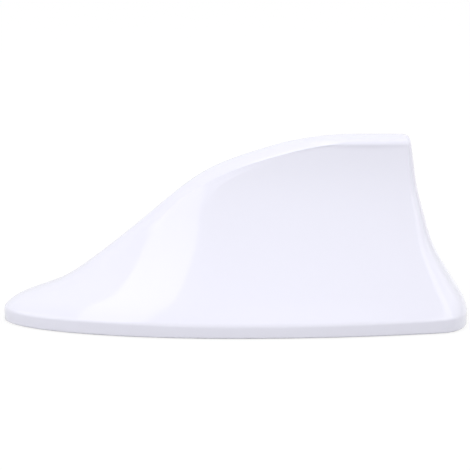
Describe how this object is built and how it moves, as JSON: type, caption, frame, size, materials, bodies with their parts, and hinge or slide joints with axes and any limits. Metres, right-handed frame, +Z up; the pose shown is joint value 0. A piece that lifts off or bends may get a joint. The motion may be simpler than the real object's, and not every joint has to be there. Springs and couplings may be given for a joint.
{
  "type": "shark fin aerial",
  "caption": "Gloss white shark fin roof aerial: a hollow curved cover on a black taped base plate, with an amplifier board and an upright aerial board inside.",
  "frame": {"origin": "middle of the foot's outline in plan, on the sticky underside that lies on the roof", "axes": "+Z up from the roof, +X from the nose towards the tail, so -X is the way the car drives"},
  "size_m": [0.168, 0.067, 0.068],
  "materials": {
    "cover_gloss": "high gloss pearl white paint over plastic",
    "plate_black": "fine grained black plastic",
    "seal_rubber": "soft black rubber",
    "tape_foam": "dark grey foam tape",
    "screw_steel": "blackened steel",
    "grommet_rubber": "black rubber",
    "board_green": "green lacquered board",
    "can_tin": "tinned sheet",
    "chip_black": "moulded black plastic",
    "leg_tin": "tinned",
    "capacitor_tan": "tan ceramic",
    "resistor_black": "dark glazed ceramic",
    "capacitor_can": "plain aluminium",
    "choke_ferrite": "dark grey ferrite",
    "coil_can": "tinned can",
    "socket_brass": "gold coloured",
    "aerial_green": "green lacquered board",
    "track_copper": "bare copper",
    "plate_tin": "tinned sheet"
  },
  "bodies": {
    "root": {"fin_cover": "cover_gloss", "base_plate": "plate_black", "cover_seal": "seal_rubber", "adhesive_ring": "tape_foam", "base_screws": "screw_steel", "cable_grommet": "grommet_rubber", "amplifier_board": "board_green", "board_screws": "screw_steel", "shield_can": "can_tin", "amplifier_chip": "chip_black", "chip_legs": "leg_tin", "chip_capacitors": "capacitor_tan", "chip_resistors": "resistor_black", "tuning_coil": "coil_can", "supply_capacitor": "capacitor_can", "supply_choke": "choke_ferrite", "cable_socket": "socket_brass", "aerial_board": "aerial_green", "aerial_track": "track_copper", "top_plate": "plate_tin", "feed_tabs": "leg_tin"}
  },
  "joints": []
}
